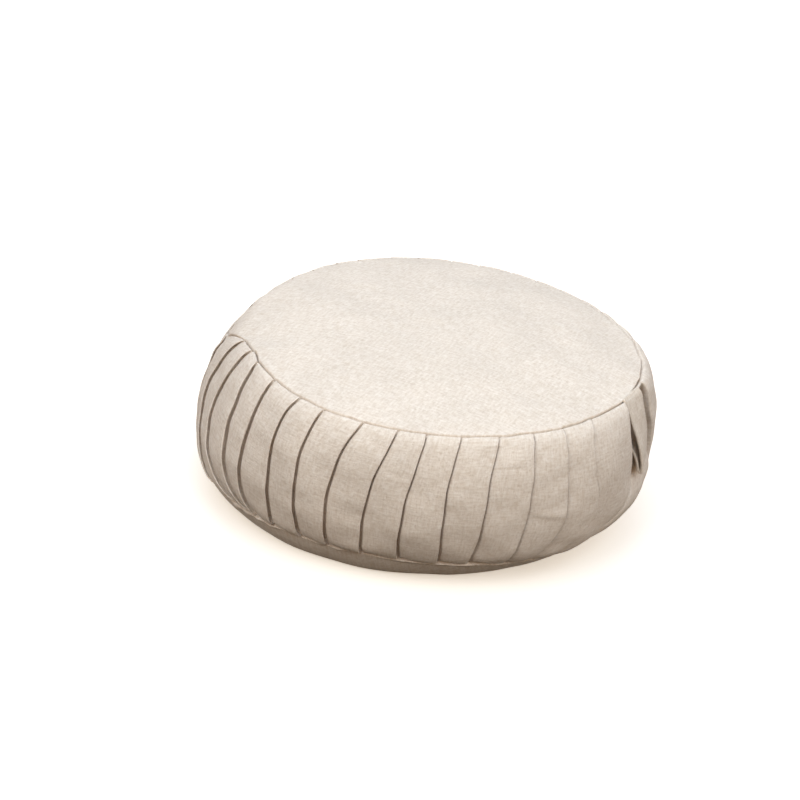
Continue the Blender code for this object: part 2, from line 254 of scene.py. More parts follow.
pleats = {
    "handleFold": 15,                         # the fold whose edge stands over the hollow
    "hidden": 20,
    "wander": 0.9,                            # degrees that a hidden fold strays from its place
    "ripple": ((0.14, 9), (0.08, 21)),        # degrees that each fold's line sways, and how fast
    "slotPlaces": (0.12, 0.5, 0.85),          # where down the cloth a slot has its three widths
    "hiddenSlot": (0.2, 1.3, 1.9),
    "hiddenStep": (0.5, 1.0),
    "leadFolds": 6,                           # the last hidden folds lean into the first shown one
    "leadTop": -3.5,
    "leadBase": 8.0,
    "tuck": 6.0 * mm,                         # how far the cloth goes back under a fold's edge
    "deep": 3.6 * mm,                         # from the next panel down to the slot's floor
    "edge": 0.45 * mm,                        # half the thickness of the folded cloth
    "shoulder": 1.4 * mm,
    "puff": 0.5 * mm,                         # how far each panel rounds out between its folds
    "across": (0.12, 0.28, 0.46, 0.64, 0.82, 0.95),
    "openTop": (0.15, 10 * mm),               # how open the slot is at a seam, and by how far
    "openBase": (0.35, 4 * mm),               # from the seam it is wholly open
    "pinched": 0.25 * mm,                     # spacing of the layers where a seam holds them
    "edgeColumns": 16,                        # columns past this one lie under the fold's edge
    "seed": 36,
}
hollow = {
    "depth": 17 * mm,                         # it has these shares of its depth at these heights in mm
    "heights": (22.0, 32.0, 48.0, 56.0, 66.0, 74.0, 82.0, 90.0, 96.0, 103.5, 111.0, 115.3, 117.2),
    "shares": (0.0, -0.1, -0.1, 0.0, 0.22, 0.50, 0.85, 1.0, 1.0, 0.93, 0.68, 0.42, 0.0),
    "atFold": 0.55,                           # share of the depth at the fold's edge, and the
    "nearRamp": 2.5,                          # degrees past it that the whole depth takes
    "rise": (1.0, 1.25, 1.3, 1.1, 0.4, 0.05), # share of the depth at each column up its far side
    "under": (0.0, 5.0, 9.0, 10.0, 6.0, 0.0), # mm that those columns reach in under the next panel
    "footHeights": (22.0, 30.0, 54.0, 66.0),  # below, the fold's slot runs on, as deep and undercut as
    "footShares": (0.0, 0.6, 0.6, 0.0),       # these shares of the hollow
}
seams = {
    "grooveDepth": 4.5 * mm,                  # where the top panel and the band turn in to their seam
    "grooveHalf": 1.1 * mm,
    "grooveUnder": 1.6 * mm,                  # and how far the groove goes in under the top panel
    "waver": ((28 * mm, 0.45 * mm), (9 * mm, 0.2 * mm)),   # how the top seam strays: length, size
    "waverReach": 9 * mm,
    "jog": (-0.3 * mm, 1.0 * mm),             # how far it steps out at a fold
    "beadRadius": 0.9 * mm,                   # the base seam's joined edges, turned outward
    "beadAround": (95, 62, 28, -8, -45, -80),
    "beadDrop": 1.2 * mm,
    "beadWaver": ((24 * mm, 0.3 * mm), (8 * mm, 0.2 * mm)),
    "valleyDepth": 1.0 * mm,
    "valleyReach": 1.5 * mm,
    "waverSeeds": (17, 7),                    # of the top seam and of the base seam
}
loose = {
    "fullFrom": 12 * mm,                      # the cloth lies true at a seam, and uneven past this
    "swells": ((60 * mm, 0.45 * mm), (22 * mm, 0.2 * mm)),
    "hiddenCreases": 16,                      # round the back
    "seeds": (5, 52),                         # of the swells and of the hidden creases
}


def lobes(angle, level):
    # Sum of cosine waves round the seam, mixed between the seams by level
    out = 0
    for waves, top, topPeak, base, basePeak in cover["lobes"]:
        out = out + top * np.cos(waves * np.radians(angle - topPeak)) * level
        out = out + base * np.cos(waves * np.radians(angle - basePeak)) * (1 - level)
    return out * mm


def windowed(angle, azimuth, reach):
    # A squared cosine round the azimuth, nothing past its reach
    away = (angle - azimuth + 180) % 360 - 180
    return np.cos(0.5 * math.pi * np.clip(away / reach, -1, 1)) ** 2


def crept(angle):
    # How far the top seam runs down the side: eased in from start to peak, then dying away
    creep = cover["creep"]
    easing = creep["start"] - creep["peak"]
    away = (creep["start"] - angle) % 360
    share = np.clip(away / easing, 0, 1)
    past = np.maximum(away - easing, 0)
    return creep["run"] * share * share * (3 - 2 * share) * np.exp(-past / creep["fall"])


def bodyPoints(angle, rows, offset, slide=0):
    # Point = radius and height of the row, moved by lobes, slip, sag, tuck and slide, and by swells
    # and offset along the profile's normal, then turned to its azimuth and leaned by its height.
    # Where the top seam runs down the side, the rows of both cloths slide along the profile with it
    take = {key: value[:, None] for key, value in rows.items() if key != "line"}
    line = rows["line"]
    whole = line["run"][-1]
    run = take["run"]
    run = run + crept(angle) * np.where(run < 0, np.maximum(1 + run / cover["creep"]["reach"], 0),
                                        1 - run / whole)
    for key in ("radius", "height", "normalR", "normalH", "level", "share"):
        take[key] = np.where(take["zone"] <= 1, np.interp(run, line["run"], line[key]), take[key])
    slip = windowed(angle, cover["slip"]["azimuth"], cover["slip"]["reach"])
    slip = slip * (np.clip(take["level"], 0, 1) * take["share"]) ** cover["slip"]["fade"]
    place = np.where(take["zone"] <= 1, run / whole, 1)
    swell = 0
    for azimuth, reach, out, at, spread in cover["swells"]:
        swell = swell + out * mm * windowed(angle, azimuth, reach) * np.exp(-((place - at) / spread) ** 2)
    atBase = []
    for part in (cover["sag"], cover["tuckIn"]):
        nearBase = np.where(take["zone"] < 2, np.exp(-take["toBase"] / part["spread"]), take["share"])
        atBase.append(nearBase * part["size"] * windowed(angle, part["azimuth"], part["reach"]))
    sag, tuckIn = atBase
    radius = take["radius"] + lobes(angle, take["level"]) * take["share"] + slide
    radius = radius + cover["slip"]["out"] * slip + take["normalR"] * (offset + swell) - tuckIn
    height = take["height"] - cover["slip"]["down"] * slip - sag + take["normalH"] * (offset + swell)
    turn = np.radians(angle)
    x = radius * np.cos(turn) + cover["lean"][0] * height
    y = radius * np.sin(turn) + cover["lean"][1] * height
    return np.stack([x, y, height], -1)


def crownLine(share):
    # The top panel from its middle to its seam, by share of the way: radius, height and normal.
    # Height = the crown's, less the crown times a power of the share
    radius, power = cover["topSeamRadius"], cover["crownFullness"]
    crown = cover["height"] - cover["topSeamHeight"]
    fall = crown * power * share ** (power - 1) / radius
    return share * radius, cover["topSeamHeight"] + crown * (1 - share ** power), fall, np.ones_like(share)


def bandLine():
    # The band from seam to seam: radius, height and run of cloth. Two quarter superellipses,
    # radius = seam's + bulge * sin^p and height = widest's + rise * cos^p
    c = cover
    turn = np.linspace(0, 0.5 * math.pi, c["profileSteps"][0])
    power = 2 / c["bandFullness"]
    upperR = c["topSeamRadius"] + (c["radius"] - c["topSeamRadius"]) * np.sin(turn) ** power
    upperH = c["widestHeight"] + (c["topSeamHeight"] - c["widestHeight"]) * np.cos(turn) ** power
    lowerR = c["baseSeamRadius"] + (c["radius"] - c["baseSeamRadius"]) * np.cos(turn) ** power
    lowerH = c["widestHeight"] - (c["widestHeight"] - c["baseSeamHeight"]) * np.sin(turn) ** power
    lineR = np.concatenate([upperR, lowerR[1:]])
    lineH = np.concatenate([upperH, lowerH[1:]])
    return lineR, lineH, np.concatenate([[0], np.cumsum(np.hypot(np.diff(lineR), np.diff(lineH)))])


def stackRows(*parts):
    # Joins the columns of each part under their names, with the normals made one long
    names = ("radius", "height", "normalR", "normalH", "level", "share", "run", "step", "zone")
    rows = {name: np.concatenate(column) for name, column in zip(names, zip(*parts))}
    length = np.hypot(rows["normalR"], rows["normalH"])
    rows["normalR"] = rows["normalR"] / length
    rows["normalH"] = rows["normalH"] / length
    return rows


def profileRows():
    # Every ring of the cover from the crown to the foot: radius, height, normal, level between
    # the seams, share of the seam's radius, run of cloth from the top seam, column step and zone
    c = cover
    near = np.array(c["seamRows"]) * mm
    middle = np.arange(*[c["panelRows"][i] for i in (0, 2, 1)]) * mm
    far = np.arange(*[c["middleRows"][i] for i in (0, 2, 1)]) * mm
    inset = np.concatenate([near, middle, far])[::-1]
    steps = np.repeat([4, 2, 1], [len(far), len(middle), len(near)])
    share = 1 - inset / c["topSeamRadius"]
    one = np.ones_like(share)
    panel = [*crownLine(share), one, share, -inset, steps, 0 * one]

    # band: its rows lie close together at both seams
    lineR, lineH, run = bandLine()
    whole = run[-1]
    edge = near[:c["seamEdgeRows"]]
    inner = np.linspace(edge[-1], whole - edge[-1], c["bandRows"])[1:-1]
    stops = np.concatenate([[0], edge, inner, (whole - edge)[::-1]])
    alongR = np.interp(stops, run, np.gradient(lineR, run))
    alongH = np.interp(stops, run, np.gradient(lineH, run))
    height = np.interp(stops, run, lineH)
    level = (height - c["baseSeamHeight"]) / (c["topSeamHeight"] - c["baseSeamHeight"])
    one = np.ones_like(stops)
    band = [np.interp(stops, run, lineR), height, -alongH, alongR, level, one, stops, one, one]

    # base seam: part of a circle, from its upper inner side round to its underside
    around = np.radians(seams["beadAround"])
    thick = seams["beadRadius"]
    middleH = c["baseSeamHeight"] - seams["beadDrop"]
    one = np.ones_like(around)
    bead = [c["baseSeamRadius"] + thick * np.cos(around), middleH + thick * np.sin(around), np.cos(around),
            np.sin(around), 0 * one, one, whole + thick * (around[0] - around), one, 2 * one]

    # base panel: height falls as a power of the share of the way in to the flat foot
    part = np.array(c["baseShares"])
    inner = np.array(c["footShares"])
    baseR = c["baseSeamRadius"] + (c["footRadius"] - c["baseSeamRadius"]) * part
    baseH = (middleH - thick) * (1 - part) ** c["baseFullness"]
    slopeR, slopeH = np.gradient(baseR), np.gradient(baseH)
    one = np.ones_like(part)
    base = [baseR, baseH, -slopeH, slopeR, 0 * one, 1 - part, baseR, np.where(part < 0.3, 1, 2), 3 * one]
    one = np.ones_like(inner)
    foot = [c["footRadius"] * inner, 0 * one, 0 * one, -one, 0 * one, 0 * one, c["footRadius"] * inner,
            np.where(inner > 0.8, 2, 4), 3 * one]

    rows = stackRows(panel, band, bead, base, foot)
    rows["toTop"] = np.where(rows["zone"] <= 1, np.abs(rows["run"]), whole)
    rows["toBase"] = np.where(rows["zone"] == 1, whole - rows["run"], np.where(rows["zone"] == 0, whole, 0))
    rows["down"] = np.clip(rows["run"] / whole, 0, 1) * (rows["zone"] <= 1) + (rows["zone"] > 1)

    # the bare profile from the pole to the base seam, for a seam that has run along it
    part = np.linspace(0, 1, c["profileSteps"][1])[:-1]
    top = [*crownLine(part), np.ones_like(part), part, (part - 1) * c["topSeamRadius"]]
    one = np.ones_like(run)
    side = [lineR, lineH, -np.gradient(lineH, run), np.gradient(lineR, run),
            (lineH - c["baseSeamHeight"]) / (c["topSeamHeight"] - c["baseSeamHeight"]), one, run]
    rows["line"] = stackRows(top, side)
    return rows


def foldTable():
    # The shown folds, then the hidden ones spaced evenly round the back with a hand's unevenness
    draw = random.Random(pleats["seed"])
    folds = [list(fold) for fold in shownFolds]
    start, end = folds[-1][2], folds[0][2] + 360
    for number in range(1, pleats["hidden"] + 1):
        middle = start + (end - start) * number / (pleats["hidden"] + 1)
        lead = max(0.0, number + pleats["leadFolds"] - pleats["hidden"]) / pleats["leadFolds"]
        top, base = (middle + draw.uniform(-pleats["wander"], pleats["wander"]) for _ in range(2))
        top, base = top + pleats["leadTop"] * lead, base + pleats["leadBase"] * lead
        folds.append([top, 0.3 * top + 0.7 * middle, middle, base,
                      *pleats["hiddenSlot"], draw.uniform(*pleats["hiddenStep"])])
    return np.array(folds)


def foldLines(rows):
    # At each row, each fold's azimuth, slot width, step and how open its slot is. The azimuth is
    # the cubic through the fold's four, and the slot opens in proportion to the way from a seam
    folds = foldTable()
    down = rows["down"][:, None]
    knots = (0, 1 / 3, 2 / 3, 1)
    azimuth = 0
    for mine in range(4):
        weight = 1
        for other in range(4):
            if other != mine:
                weight = weight * (down - knots[other]) / (knots[mine] - knots[other])
        azimuth = azimuth + folds[:, mine] * weight
    phase = np.random.default_rng(pleats["seed"]).uniform(0, 2 * math.pi, (2, len(folds)))
    for (size, pace), start in zip(pleats["ripple"], phase):
        azimuth = azimuth + size * np.sin(pace * down + start)
    slot = np.stack([np.interp(rows["down"], pleats["slotPlaces"], fold[4:7]) for fold in folds], 1)
    opened = np.minimum(pleats["openTop"][0] + rows["toTop"] / pleats["openTop"][1],
                        pleats["openBase"][0] + rows["toBase"] / pleats["openBase"][1])
    opened = np.minimum(opened, 1)[:, None]
    return azimuth, slot * mm, folds[:, 7] * mm * opened, opened


def pleatGrid(rows):
    # Across each pleat, 20 columns: 6 up out of the slot of the fold before and over a shoulder,
    # 6 across the panel, 4 round the folded edge, 1 back under it and 3 round the end of the tuck.
    # Each is a place round the band in degrees and a height over it; at a seam they lie side by side
    azimuth, slot, step, opened = (item[:, :, None] for item in foldLines(rows))
    before, slotBefore, stepBefore = (np.roll(item, 1, 1) for item in (azimuth, slot, step))
    before[:, 0] -= 360
    degrees = 180 / math.pi / np.maximum(rows["radius"], cover["topSeamRadius"])[:, None, None]
    tuck, deep, edge = pleats["tuck"] * opened, pleats["deep"] * opened, pleats["edge"] * opened
    low, high = -0.5 * stepBefore, 0.5 * step

    riseX = tuck * np.array([-0.45, -0.05, 0, 0, 0, 0]) + slotBefore * np.array([0, 0.15, 0.6, 0.95, 1, 1])
    riseX = riseX + pleats["shoulder"] * np.array([0, 0, 0, 0, 0.4, 1])
    riseY = low - deep * np.array([1, 0.92, 0.6, 0.2, 0.05, 0])

    across = np.array(pleats["across"])
    first = before + (slotBefore + pleats["shoulder"]) * degrees
    panelX = first + (azimuth - edge * degrees - first) * across
    panelY = low + (high - low) * across + pleats["puff"] * opened * np.sin(math.pi * across)

    bend = np.radians([90, 40, -15, -70])
    edgeX = edge * (np.cos(bend) - 1)
    edgeY = high + edge * (np.sin(bend) - 1)

    under = high - 2 * edge
    floor = -0.5 * step - deep
    endX = tuck * np.array([-0.5, -0.95, -1.08, -0.9])
    endY = under + (floor - under) * np.array([0.1, 0.28, 0.65, 1.0])

    x = np.concatenate([before + riseX * degrees, panelX, azimuth + edgeX * degrees,
                        azimuth + endX * degrees], -1)
    y = np.concatenate([riseY + 0 * slotBefore, panelY, edgeY, endY], -1)
    layers = pleats["pinched"] * (np.arange(-8, 6) + 0.5) * degrees
    start, end = before + layers[..., -1:], azimuth + layers[..., :1]
    side = np.concatenate([before + layers[..., 8:], start + (end - start) * across,
                           azimuth + layers[..., :8]], -1)
    x = side + (x - side) * opened
    under = np.interp(rows["height"], np.array(hollow["heights"]) * mm, np.maximum(hollow["shares"], 0))
    reach = under[:, None] * np.array(hollow["under"]) * mm * degrees[:, 0]
    x[:, pleats["handleFold"] + 2, :reach.shape[1]] += reach
    foot = np.interp(rows["height"], np.array(hollow["footHeights"]) * mm, hollow["footShares"])
    reach = foot[:, None] * np.array(hollow["under"]) * mm * degrees[:, 0]
    x[:, pleats["handleFold"] + 1, :reach.shape[1]] += reach
    share = (side - before) / (azimuth - before)
    return x, y, side, share, azimuth


def drawnIn(angle, height, azimuth):
    # The hollow behind the strap and the flatter stretch round it. Columns under the handle
    # fold's edge share the hollow's depth at that edge, so the slot there is deep
    number = pleats["handleFold"]
    depth = hollow["depth"] * np.interp(height, np.array(hollow["heights"]) * mm, hollow["shares"])
    depth = depth[:, None, None]
    past = np.maximum(angle - azimuth[:, number:number + 1], 0)
    near = np.minimum(1, hollow["atFold"] + (1 - hollow["atFold"]) * past / hollow["nearRamp"])
    index = np.arange(angle.shape[1])[None, :, None]
    drawn = np.where(index == number + 1, depth * near, 0)
    far = len(hollow["rise"])
    drawn[:, number + 2, :far] = np.maximum(depth[:, :, 0], 0) * np.array(hollow["rise"])
    foot = np.interp(height, np.array(hollow["footHeights"]) * mm, hollow["footShares"])[:, None]
    drawn[:, number + 1, :far] += foot * hollow["depth"] * np.array(hollow["rise"])
    beneath = np.arange(angle.shape[2]) >= pleats["edgeColumns"]
    sunk = np.maximum(depth, 0) * hollow["atFold"] + foot[..., None] * hollow["depth"]
    drawn = drawn + np.where(index == number, sunk * beneath, 0)
    away = np.clip(((angle + 180) % 360 - 180) / cover["flatReach"], -1, 1)
    flat = np.cos(0.5 * math.pi * away) ** 2 * cover["flatDepth"]
    flat = flat * np.clip((cover["topSeamHeight"] - height) / cover["flatFade"], 0, 1)[:, None, None]
    flat = flat * np.interp(height, cover["flatFoot"], (0, 1))[:, None, None]
    return drawn + flat


def gridFaces(steps, columns):
    # Corner codes, row * (columns + 1) + column: quads between rings of the same column step, and
    # three triangles to each wide cell where the step doubles or halves
    quads, triangles = [], []
    for row in range(len(steps) - 1):
        here, below = int(steps[row]), int(steps[row + 1])
        wide = max(here, below)
        left = np.arange(0, columns, wide)
        right = left + wide
        top, bottom = row * (columns + 1), (row + 1) * (columns + 1)
        if here == below:
            quads.append(np.stack([top + left, bottom + left, bottom + right, top + right], 1))
        elif here > below:
            half = left + below
            triangles.append(np.stack([top + left, bottom + left, bottom + half], 1))
            triangles.append(np.stack([top + left, bottom + half, top + right], 1))
            triangles.append(np.stack([top + right, bottom + half, bottom + right], 1))
        else:
            half = left + here
            triangles.append(np.stack([top + left, bottom + left, top + half], 1))
            triangles.append(np.stack([top + half, bottom + left, bottom + right], 1))
            triangles.append(np.stack([top + half, bottom + right, top + right], 1))
    return np.concatenate(quads), np.concatenate(triangles)


# How the filling pushes the cloth out between its seams
filling = {
    "voxel": 5 * mm,
    "pressure": 4.0,
    "frames": 20,
    "cap": 3.0 * mm,
    "grow": 0.02,
    "pinReach": 6 * mm,
    "fullFrom": 16 * mm,
    "around": 180,
    "smoothing": (3, 6),                      # passes along the rings and across them
}


def evenCloth(smooth, quads, ends):
    # The smooth body as one closed mesh, remeshed so that all its faces are alike
    body = newPiece("fillingShape", smooth, quads + ends)
    remesh = body.modifiers.new("evenCloth", "REMESH")
    remesh.mode = "VOXEL"
    remesh.voxel_size = filling["voxel"]
    evaluated = body.evaluated_get(bpy.context.evaluated_depsgraph_get())
    cloth = bpy.data.objects.new("fillingCloth", bpy.data.meshes.new_from_object(evaluated))
    bpy.context.scene.collection.objects.link(cloth)
    bpy.data.objects.remove(body)
    return cloth


def readPoints(mesh):
    flat = np.zeros(len(mesh.vertices) * 3, np.float32)
    mesh.vertices.foreach_get("co", flat)
    return flat.reshape(-1, 3)


def blowOut(cloth, seamLines):
    # Cloth under pressure from inside, held at its seams and foot, for a few frames. Each point's
    # way is cut to a cap, and stays in the mesh
    start = readPoints(cloth.data)
    away = np.linalg.norm(start[:, None] - seamLines[None].astype(np.float32), axis=2).min(1)
    pinned = (away < filling["pinReach"]) | (start[:, 2] < cover["baseSeamHeight"])
    group = cloth.vertex_groups.new(name="seams")
    group.add(np.flatnonzero(pinned).tolist(), 1.0, "REPLACE")
    blow = cloth.modifiers.new("filling", "CLOTH")
    blow.settings.quality = 6
    blow.settings.use_pressure = True
    blow.settings.uniform_pressure_force = filling["pressure"]
    blow.settings.effector_weights.gravity = 0
    blow.settings.vertex_group_mass = "seams"
    blow.settings.shrink_min = -filling["grow"]
    blow.point_cache.frame_start = 1
    blow.point_cache.frame_end = filling["frames"]
    for number in range(1, filling["frames"] + 1):
        bpy.context.scene.frame_set(number)
    moved = readPoints(cloth.evaluated_get(bpy.context.evaluated_depsgraph_get()).to_mesh()) - start
    cloth.modifiers.remove(blow)
    bpy.context.scene.frame_set(1)
    length = np.linalg.norm(moved, axis=1)[:, None]
    print("filling moved the cloth by", round(float(length.mean() / mm), 2), "mm on average,",
          round(float(length.max() / mm), 2), "mm at most")
    moved = moved * np.minimum(1, filling["cap"] / np.maximum(length, 1e-9))
    cloth.data.vertices.foreach_set("co", (start + moved).astype(np.float32).ravel())
    cloth.data.update()


def settleFilling(rows):
    # How much further than its ring's mean the filling pushes each azimuth out, along the ring's own
    # normal, so that the size stays. The smooth body is blown out, and its rings are laid onto it
    count = filling["around"]
    angle = np.broadcast_to(np.arange(count) * 360 / count, (len(rows["radius"]), count))
    smooth = bodyPoints(angle, rows, 0)
    corners = np.arange(angle.size).reshape(-1, count)
    ahead = np.roll(corners, -1, 1)
    quads = np.stack([corners[:-1], corners[1:], ahead[1:], ahead[:-1]], -1).reshape(-1, 4).tolist()
    cloth = evenCloth(smooth, quads, [corners[0].tolist(), corners[-1][::-1].tolist()])
    blowOut(cloth, smooth[[np.argmin(rows["toTop"]), np.argmin(rows["toBase"])]].reshape(-1, 3))

    probe = newPiece("fillingProbe", smooth, quads)
    wrap = probe.modifiers.new("onCloth", "SHRINKWRAP")
    wrap.target = cloth
    wrap.wrap_method = "NEAREST_SURFACEPOINT"
    wrapped = readPoints(probe.evaluated_get(bpy.context.evaluated_depsgraph_get()).to_mesh())
    turn = np.radians(angle)
    normal = np.stack([rows["normalR"][:, None] * np.cos(turn), rows["normalR"][:, None] * np.sin(turn),
                       np.broadcast_to(rows["normalH"][:, None], angle.shape)], -1)
    swell = ((wrapped.reshape(smooth.shape) - smooth) * normal).sum(-1)
    for thing in (probe, cloth):
        bpy.data.objects.remove(thing)
    for _ in range(filling["smoothing"][0]):
        swell = (swell + np.roll(swell, 1, 1) + np.roll(swell, -1, 1)) / 3
    for _ in range(filling["smoothing"][1]):
        swell[1:-1] = (swell[1:-1] + swell[:-2] + swell[2:]) / 3
    swell = np.where(rows["zone"][:, None] <= 1, swell - swell.mean(1)[:, None], 0)
    edge = np.minimum(rows["toTop"], np.where(rows["zone"] == 1, rows["toBase"], 1))
    edge = np.clip(edge / filling["fullFrom"], 0, 1)[:, None]
    return swell * edge * edge * (3 - 2 * edge)


def readRound(swell, angle):
    # Reads a regular ring at any azimuth, straight between its points
    count = swell.shape[1]
    where = angle % 360 * count / 360
    low = np.floor(where).astype(int)
    share = where - low
    row = np.arange(len(swell))[:, None]
    return swell[row, low % count] * (1 - share) + swell[row, (low + 1) % count] * share


# Soft creases and pulls in the cloth. One row each: azimuth and place where it starts, azimuth and
# place where it ends, depth in mm, raised where it is below nothing, and half its width in mm. A
# place is a share of the way down the band, or mm in from the seam on the top panel, below nothing
bandCreases = (
    (-120.0, 0.10, -115.5, 0.12, 0.5, 1.6),
    (-105.0, 0.18, -102.5, 0.15, 0.4, 1.4),
    (-94.5, 0.06, -91.5, 0.08, 0.5, 1.4),
    (-77.5, 0.29, -70.5, 0.33, 0.5, 1.5),
    (-60.5, 0.32, -54.5, 0.38, -0.5, 1.8),
    (-49.5, 0.24, -43.5, 0.24, 0.5, 1.8),
    (-48.5, 0.38, -45.0, 0.37, 0.5, 1.6),
    (-46.0, 0.41, -40.5, 0.54, -0.5, 2.0),
    (-39.5, 0.56, -31.0, 0.61, -0.9, 3.0),
    (-22.0, 0.66, -25.5, 0.80, 1.2, 1.3),
)
panelCreases = (
    (-4.5, -19.0, -6.5, -2.0, 0.6, 1.3),
    (-0.5, -17.0, -2.8, -1.5, 0.5, 1.2),
    (-9.5, -15.0, -10.0, -2.0, 0.4, 1.4),
    (-152.0, -9.0, -147.0, -2.5, 1.8, 4.0),
)


def crease(angle, along, start, end, depth, half, radius):
    # Minus depth times e to the minus squared distance from the line, over its half width, and
    # tapered as a half sine from end to end
    run = end[1] - start[1]
    width = (end[0] - start[0]) * math.pi / 180 * radius
    length = math.hypot(run, width)
    right = ((angle - start[0] + 180) % 360 - 180) * math.pi / 180 * radius
    down = along - start[1]
    part = (right * width + down * run) / length ** 2
    away = (right * run - down * width) / length
    taper = np.sin(math.pi * np.clip(part, 0, 1)) ** 0.6
    return -depth * taper * np.exp(-(away / half) ** 2)


def creasedCloth(angle, rows):
    # The creases of both tables, and seeded ones round the back where the photograph doesn't show
    zone, run = rows["zone"][:, None], rows["run"][:, None]
    whole = rows["run"][rows["zone"] == 1][-1]
    draw = np.random.default_rng(loose["seeds"][1])
    table = list(bandCreases)
    for _ in range(loose["hiddenCreases"]):
        at, place = draw.uniform(14, 196), draw.uniform(0.1, 0.75)
        table.append((at, place, at + draw.uniform(3, 7), place + draw.uniform(-0.04, 0.04),
                      draw.choice([-0.5, 0.5]), draw.uniform(1.4, 2.2)))
    out = np.zeros(angle.shape)
    for startA, startD, endA, endD, depth, half in table:
        out += (zone == 1) * crease(angle, run, (startA, startD * whole), (endA, endD * whole),
                                    depth * mm, half * mm, cover["radius"])
    for startA, startD, endA, endD, depth, half in panelCreases:
        out += (zone == 0) * crease(angle, run, (startA, startD * mm), (endA, endD * mm),
                                    depth * mm, half * mm, cover["topSeamRadius"])
    return out


def waver(points, table, seed):
    # A sum of soft noises, one for each row of length and size
    return sum(size * softNoise(points, length, seed + number)
               for number, (length, size) in enumerate(table))


def sewnSurface(rows):
    # Points of the whole cover, and where its band's columns lie round it halfway down. Relief is
    # the pleats, the filling, the seams and the loose cloth, each along the profile's normal
    zone = rows["zone"][:, None]
    x, y, side, share, azimuth = pleatGrid(rows)
    columns = x.shape[1] * x.shape[2]
    banded = zone[:, :, None] == 1
    angle = np.where(banded, x, side).reshape(-1, columns)
    relief = np.where(banded, y - drawnIn(x, rows["height"], azimuth), 0).reshape(-1, columns)
    relief = relief + readRound(settleFilling(rows), angle)

    # the seams: a narrow groove round the top panel, which strays and steps out at each fold,
    # and a raised uneven bead round the base under a shallow valley
    groove = np.clip(1 - rows["toTop"] / seams["grooveHalf"], 0, 1)
    groove = groove * groove * (3 - 2 * groove)
    valley = seams["valleyDepth"] * np.exp(-rows["toBase"] / seams["valleyReach"]) * (rows["zone"] == 1)
    plain = bodyPoints(angle, rows, 0)
    ring = plain * np.array([1, 1, 0])
    topSeed, baseSeed = seams["waverSeeds"]
    bead = np.where(zone == 2, waver(ring, seams["beadWaver"], baseSeed), 0)
    relief = relief - (seams["grooveDepth"] * groove + valley)[:, None] + bead
    draw = np.random.default_rng(pleats["seed"])
    jog = draw.uniform(*seams["jog"], x.shape[1])[None, :, None] * np.clip(share, 0, 1) ** 2
    nearTop = np.exp(-rows["toTop"] / seams["waverReach"])[:, None]
    slide = nearTop * (jog.reshape(-1, columns) + waver(ring, seams["waver"], topSeed))
    slide = np.where(zone <= 1, slide - seams["grooveUnder"] * groove[:, None], 0)

    # the loose cloth between the seams
    free = np.clip(rows["toTop"] / loose["fullFrom"], 0, 1)
    free = np.where(rows["zone"] == 3, np.sqrt(rows["share"] * (1 - rows["share"])), free)
    free = np.where(rows["zone"] == 2, 0, free)[:, None]
    relief = relief + free * waver(plain, loose["swells"], loose["seeds"][0])
    relief = relief + creasedCloth(angle, rows)
    points = bodyPoints(angle, rows, relief, slide)
    points[..., 2] = np.maximum(points[..., 2], 0)

    halfway = np.argmin(np.abs(rows["down"] - 0.5))
    lineX = np.append(x[halfway], x[halfway, :1, :1] + 360) * math.pi / 180 * cover["radius"]
    lineY = np.append(y[halfway], y[halfway, :1, :1])
    across = np.concatenate([[0], np.cumsum(np.hypot(np.diff(lineX), np.diff(lineY)))])
    return points, across


def sewnCover(material):
    # The surface as one closed mesh with its cloth map: the grid's faces, and a fan at each pole
    rows = profileRows()
    points, across = sewnSurface(rows)
    columns = points.shape[1]

    # maps in metres of cloth: the two discs lie flat, and the band is a straight strip
    quads, triangles = gridFaces(rows["step"], columns)
    disc = np.concatenate([points, points[:, :1]], 1)[..., :2]
    strip = np.stack(np.broadcast_arrays(across, -rows["run"][:, None]), -1)
    maps = np.stack([disc, strip, disc + 1.0], 0)
    codes = [quads, triangles]
    kind = [np.minimum(rows["zone"][np.min(part // (columns + 1), 1)].astype(int), 2) for part in codes]
    texture = [maps.reshape(3, -1, 2)[k[:, None], part] for k, part in zip(kind, codes)]

    # close the two poles with fans, and leave out the points that wide cells skip
    faces = [part // (columns + 1) * columns + part % (columns + 1) % columns for part in codes]
    rim = np.arange(0, columns, 4)
    ahead = (rim + 4) % columns
    lastRow, size = (len(rows["zone"]) - 1) * columns, points.shape[0] * columns
    fan = np.stack([np.full(len(rim), size), rim, ahead], 1)
    footFan = np.stack([np.full(len(rim), size + 1), lastRow + ahead, lastRow + rim], 1)
    poles = [points[0, ::4].mean(0), points[-1, ::4].mean(0) * np.array([1, 1, 0])]
    allPoints = np.concatenate([points.reshape(-1, 3), poles])
    faces += [fan, footFan]
    texture += [allPoints[fan][..., :2], allPoints[footFan][..., :2] + 1.0]
    used, inverse = np.unique(np.concatenate([part.ravel() for part in faces]), return_inverse=True)
    parts = np.split(inverse, np.cumsum([part.size for part in faces])[:-1])
    corners = [corner for part, face in zip(parts, faces) for corner in part.reshape(face.shape).tolist()]
    piece = newPiece("linenCover", allPoints[used], corners, material)
    flat = np.concatenate([part.reshape(-1, 2) for part in texture])
    layClothMap(piece, flat)
    print("cover sewn:", len(piece.data.polygons), "faces")
    return piece


linenCover = sewnCover(coverLinen)
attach(linenCover, "root")
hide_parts("cushion_body")


